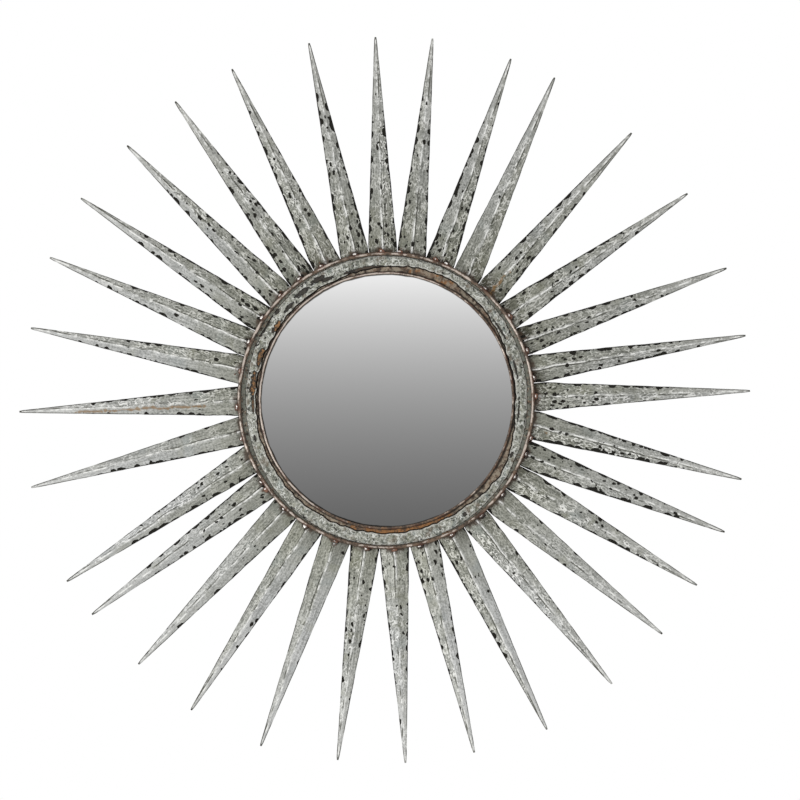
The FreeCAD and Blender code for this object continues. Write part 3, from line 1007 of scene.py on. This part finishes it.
def degreesFrom(clock, clockDegrees):  # the short way round
    return (degrees(clock) - clockDegrees + 180.0) % 360.0 - 180.0


def stripEdges(clock):  # inner and outer radius there
    inner = strip["innerRadius"]
    outer = strip["outerRadius"] + strip["oval"] * cos(2.0 * clock)
    for middle, spread, amount in strip["setBacks"]:
        inner += amount * exp(-((degreesFrom(clock, middle) / spread) ** 2))
    for number, (size, amount) in enumerate(strip["jags"]):
        inner += amount * ringNoise(clock, inner, size, 3.0 + number)
        outer += strip["outerJags"] * amount * ringNoise(clock, outer, size, 13.0 + number)
    return inner, outer


def flakeDepth(clock, radius):  # 1 in the middle of a flaked place, below 0 outside; and how orange it is
    deepest, orange = -1.0, 0.0
    for clockDegrees, middle, length, width, share in flakedPlaces:
        along = radians(degreesFrom(clock, clockDegrees)) * middle / (0.5 * length)
        across = (radius - middle) / (0.5 * width)
        depth = 1.0 - hypot(along, across)
        if depth > deepest:
            deepest, orange = depth, share
    return deepest, orange


def stripLift(clock, radius, inner, turned, flake):  # height of the strip's face over the rim plate
    lip = strip["lipRise"] * exp(-(((radius - inner) / strip["lipWidth"]) ** 2))
    lip *= 0.7 + 0.6 * ringNoise(clock, inner, strip["lipSize"], 21.0)
    crown = max(0.0, sin(turned))
    coarse, fine = strip["dentSizes"]
    dents = ringNoise(clock, radius, coarse, 31.0) + 0.5 * ringNoise(clock, radius, fine, 41.0)
    lift = strip["frontLift"] + strip["sheet"] * crown ** 0.6 + strip["rise"] * crown + lip
    lift += strip["dentDepth"] * dents * crown
    return lift - 0.7 * strip["sheet"] * easeIn(flake, -0.1, 0.3)


def makeStrip():
    seat = frontDepth("rim_plate")
    middleRadius = (strip["innerRadius"] + strip["outerRadius"]) / 2
    work = spinProfile(middleRadius, seat, strip["bar"], strip["sides"], strip["turns"])
    edgesAt = {}
    flakeValues = []
    for vertex in work.verts:
        clock = atan2(vertex.co.x, vertex.co.z)
        turned = atan2(-vertex.co.y - seat, hypot(vertex.co.x, vertex.co.z) - middleRadius)
        station = round(clock, 4)
        if station not in edgesAt:
            edgesAt[station] = stripEdges(clock)
        inner, outer = edgesAt[station]
        share = cos(turned)
        radius = inner + (outer - inner) * (0.5 + 0.5 * share)
        inFromEdge = min(radius - inner, outer - radius)
        flake, orange = flakeDepth(clock, radius)
        lift = strip["backLift"]
        if turned > -0.01:
            lift = stripLift(clock, radius, inner, turned, flake)
        # skirt pushed out past the face, coloured near black as cut edge and painted shade
        elif abs(share) > 0.9:
            skirt = strip["outerSkirt" if share > 0.0 else "innerSkirt"]
            radius += copysign(skirt, share)
            inFromEdge = -skirt
        vertex.co = ringPoint(clock, radius, seat + lift)
        flakeValues.append((flake, orange, inFromEdge))
    addPiece("zincStrip", work, stripZinc, "zinc_face", {"stripWear": flakeValues})


stripTones = dict(
    zinc, dull=(0.08, 0.086, 0.069), pale=(0.455, 0.458, 0.403), bluish=(0.24, 0.295, 0.3),
    fleck=(0.74, 0.75, 0.71), patchSize=0.012, grainSize=0.0036,
    scratchSizes=(0.0042, 0.0042, 0.0042), streakSizes=(0.0022, 0.0022, 0.0022),
)
stains = {
    "flaked": (0.032, 0.027, 0.022),
    # near black: cut edges, with painted shade round the strip and round flaked places
    "cutEdgeAndShade": (0.012, 0.01, 0.009),
    "cutEdgeShadeTo": (0.0, -0.0004),  # metres in from the edge
    "orange": (0.3, 0.145, 0.05),
    "brown": (0.16, 0.12, 0.085), "brownSize": 0.01,
    "lip": (0.6, 0.59, 0.54),
    "lipTo": (0.0016, 0.0005),
    "raggedSize": 0.004, "nibbleSize": 0.0048,
    "metallic": 0.2, "specular": 0.25,
}


def makeStripFinish():
    material, place = newFinish("mottledStrip")
    flake, orange, inFromEdge = split(attribute(place.tree, "stripWear"))
    colour, grain, flecks = zincLook(place, stripTones, 0.75)
    brown = ramp(cloud(place, stains["brownSize"], 3.0), 0.54, 0.7)
    colour = tint(brown * 0.55, colour, stains["brown"])
    rubbedAndSheen = ramp(inFromEdge, *stains["lipTo"]) * ramp(grain, 0.36, 0.52)
    colour = tint(rubbedAndSheen * 0.75, colour, stains["lip"])
    flakeEdge = flake + (cloud(place, stains["raggedSize"], 3.0, 0.6) - 0.5) * 1.6
    nibbled = ramp(cloud(stretch(place, (1.0, 1.0, 1.3)), stains["nibbleSize"]), 0.36, 0.3)
    bare = larger(ramp(flakeEdge, 0.0, 0.14), nibbled)
    rusty = calc("LESS_THAN", orange, 1.1) * orange * ramp(grain, 0.35, 0.6)
    rust = tint(rusty, stains["flaked"], stains["orange"])
    # dark rims round flaked places: cut edge and painted shade at the step
    rust = tint(ramp(flakeEdge, 0.48, 0.28), rust, stains["cutEdgeAndShade"])
    soldered = ramp(orange, 1.2, 1.8) * ramp(flake, 0.42, 0.62)
    rust = tint(soldered, rust, stains["lip"])
    colour = tint(bare * 0.95, colour, rust)
    # near black skirt round the strip: cut edge and painted shade
    colour = tint(ramp(inFromEdge, *stains["cutEdgeShadeTo"]), colour, stains["cutEdgeAndShade"])
    bumps = bump((grain + flecks) * 0.5 - bare, 0.0006, 0.9)
    return coat(material, colour, grain * 0.35 + 0.4, bumps, stains["metallic"], stains["specular"])


stripZinc = makeStripFinish()
makeStrip()
print("strip made")


# weld beads where each fold meets the outer rod, with spatter round them

weld = {
    "beadSize": 0.0029,
    "beadSizes": (0.75, 1.1),  # shares of that
    "beadStretch": 1.45,  # longer along the rod
    "beadAside": 0.004,  # radians either way
    "beadRise": 0.0012,  # before the fold
    "outOfPlate": 0.0022,
    "lumps": 0.55,
    "spatterCount": 3, "spatterSize": 0.0009, "spatterSizes": (0.5, 1.2),
    "spatterReach": 0.006, "spatterNearest": 0.0005,
    "faceSlope": 18.0,  # degrees, of a ray's halves
    "litFrom": (-0.35, -0.93, 0.1),
    "grainSize": 0.0016,
    # painted shade with soot, and a painted glint, on the beads
    "sootAndShade": (0.01, 0.008, 0.007), "brown": (0.048, 0.029, 0.021),
    "copper": (0.2, 0.098, 0.062), "bright": (0.95, 0.91, 0.86),
}


def makeWeldFinish():
    material, place = newFinish("weldMetal")
    lightFacing, redness = split(attribute(place.tree, "weldLightFacing"))[:2]
    grain = cloud(place, weld["grainSize"], 3.0, 0.6)
    uneven = grain - 0.5
    colour = tint(ramp(redness + uneven, 0.3, 0.8), weld["brown"], weld["copper"])
    uneven = lightFacing + uneven
    # painted shade on the side of each bead turned from the light, with soot
    colour = tint(ramp(uneven, 0.55, 0.15), colour, weld["sootAndShade"])
    # painted glint where a bead faces the light
    glintAndGloss = ramp(uneven - redness * 0.16, 0.76, 0.92)
    colour = tint(glintAndGloss, colour, weld["bright"])
    return coat(material, colour, 0.6 - glintAndGloss * 0.3, bump(grain, 0.0003, 0.7), glintAndGloss * 0.5 + 0.2)


def addLump(work, lightFacingLayer, middle, size, fineness, seed, redness, stretched=1.0):
    made = bmesh.ops.create_icosphere(work, subdivisions=fineness, radius=size)
    along = Vector((middle.z, 0.0, -middle.x)).normalized()
    litFrom = Vector(weld["litFrom"]).normalized()
    for vertex in made["verts"]:
        # how much each point faces the light, for the painted shade and glint
        vertex[lightFacingLayer] = (vertex.co.dot(litFrom) / size, redness, 0.0)
        rough = noise.noise(vertex.co * (0.9 / size) + Vector((seed, 0.0, 0.0)))
        grown = vertex.co * (1.0 + weld["lumps"] * rough)
        vertex.co = middle + grown + along * (grown.dot(along) * (stretched - 1.0))


def makeWelds():
    dice = random.Random(23)
    work = bmesh.new()
    lightFacingLayer = work.verts.layers.float_vector.new("weldLightFacing")
    fold = frontDepth("ray_01")
    radius = outerRadius("rim_plate") + weld["outOfPlate"]
    reach = weld["spatterReach"]
    fall = tan(radians(weld["faceSlope"]))
    for number, clock in enumerate(rayDirections):
        aside = clock + dice.uniform(-weld["beadAside"], weld["beadAside"])
        size = weld["beadSize"] * dice.uniform(*weld["beadSizes"])
        redness = dice.random()
        bead = ringPoint(aside, radius, fold + weld["beadRise"])
        addLump(work, lightFacingLayer, bead, size, 3, number * 3.1, redness, weld["beadStretch"])
        for spatter in range(weld["spatterCount"]):
            strayed = aside + dice.uniform(-reach, reach) / radius
            out = radius + dice.uniform(weld["spatterNearest"], reach)
            grown = weld["spatterSize"] * dice.uniform(*weld["spatterSizes"])
            drop = ringPoint(strayed, out, fold - abs(strayed - clock) * out * fall)
            addLump(work, lightFacingLayer, drop, grown, 1, number + spatter * 7.7, redness)
    addPiece("weldBeads", work, makeWeldFinish(), "ray_welds", sharpAngle=80.0)


makeWelds()
print("welds made")


# finishes for the pieces that keep the shape of their solids

def dress(name, material):
    for place in nodes[name].material_slots:
        place.material = material


glass = {
    "silver": (0.985, 0.985, 0.985),
    "tarnishAndReflection": (0.12, 0.115, 0.105),
    "reflectionTo": (0.1549, 0.1562),  # radii over which the dark seam along the wire starts: tarnish with a painted reflection of the wire
    "reflectionLeft": 0.006,  # wider on the left, as a share of the radius
    "reflectionWanderSize": 0.02, "reflectionWander": 0.003,
    "haze": 0.02, "hazeSize": 0.06,
}


def makeGlassFinish():
    material, place = newFinish("silveredGlass")
    x, z = split(place)[::2]
    # dark seam beside the wire: tarnish and a painted reflection of the wire in the glass
    wander = (cloud(place, glass["reflectionWanderSize"], 3.0) - 0.5) * glass["reflectionWander"]
    reached = ringRadius(x, z) + x * -glass["reflectionLeft"] + wander
    aged = ramp(reached, *glass["reflectionTo"])
    colour = tint(aged, glass["silver"], glass["tarnishAndReflection"])
    hazy = ramp(cloud(place, glass["hazeSize"], 3.0), 0.45, 0.8)
    return coat(material, colour, hazy * glass["haze"], metallic=1.0)


board = {
    "pale": (0.33, 0.225, 0.135), "dark": (0.2, 0.13, 0.075), "speck": (0.09, 0.055, 0.032),
    "fibreSizes": (0.006, 0.002, 0.0012), "patchSize": 0.05, "speckSize": 0.0018,
}


def makeBoardFinish():
    material, place = newFinish("hardboard")
    fibres = cloud(stretch(place, board["fibreSizes"]), 1.0, 4.0, 0.6)
    tone = fibres * 0.5 + cloud(place, board["patchSize"], 3.0) * 0.5
    colour = tint(ramp(tone, 0.38, 0.62), board["dark"], board["pale"])
    specks = ramp(cloud(place, board["speckSize"], 1.0), 0.68, 0.76)
    colour = tint(specks * 0.6, colour, board["speck"])
    return coat(material, colour, fibres * 0.25 + 0.6, bump(fibres, 0.0004, 0.7))


platedTones = {"bright": (0.6, 0.6, 0.57), "dull": (0.32, 0.32, 0.29), "yellow": (0.55, 0.48, 0.3)}
brassTones = {"bright": (0.58, 0.43, 0.18), "dull": (0.3, 0.205, 0.085), "yellow": (0.48, 0.33, 0.11)}
platedWear = {
    "patchSize": 0.008, "scratchSizes": (0.0004, 0.004, 0.012), "yellowSize": 0.014, "metallic": 0.9,
}


def makePlatedFinish(name, tones):
    material, place = newFinish(name)
    scratches = cloud(stretch(place, platedWear["scratchSizes"]), 1.0)
    tone = cloud(place, platedWear["patchSize"], 3.0) * 0.6 + scratches * 0.4
    colour = tint(ramp(tone, 0.36, 0.6), tones["dull"], tones["bright"])
    yellow = ramp(cloud(place, platedWear["yellowSize"]), 0.5, 0.68)
    colour = tint(yellow * 0.5, colour, tones["yellow"])
    return coat(material, colour, tone * 0.35 + 0.22, bump(scratches, 0.0001, 0.5), platedWear["metallic"])


rubber = {
    "black": (0.018, 0.018, 0.018), "dusty": (0.085, 0.082, 0.076),
    "dustSize": 0.004, "grainSize": 0.0008,
}


def makeRubberFinish():
    material, place = newFinish("padRubber")
    dust = cloud(place, rubber["dustSize"], 4.0, 0.6)
    colour = tint(ramp(dust, 0.42, 0.72), rubber["black"], rubber["dusty"])
    grain = cloud(place, rubber["grainSize"])
    return coat(material, colour, dust * 0.3 + 0.55, bump(grain, 0.0002, 0.6))


plated = makePlatedFinish("platedSteel", platedTones)
dress("rim_plate", plateRust)
dress("casing_band", casingRust)
dress("mirror_glass", makeGlassFinish())
dress("backing_board", makeBoardFinish())
dress("wall_pads", makeRubberFinish())
dress("hanger_screws", makePlatedFinish("brassScrews", brassTones))
for platedNode in ("retaining_clips", "hanger_strap", "hanger_ring"):
    dress(platedNode, plated)
print("nodes dressed")
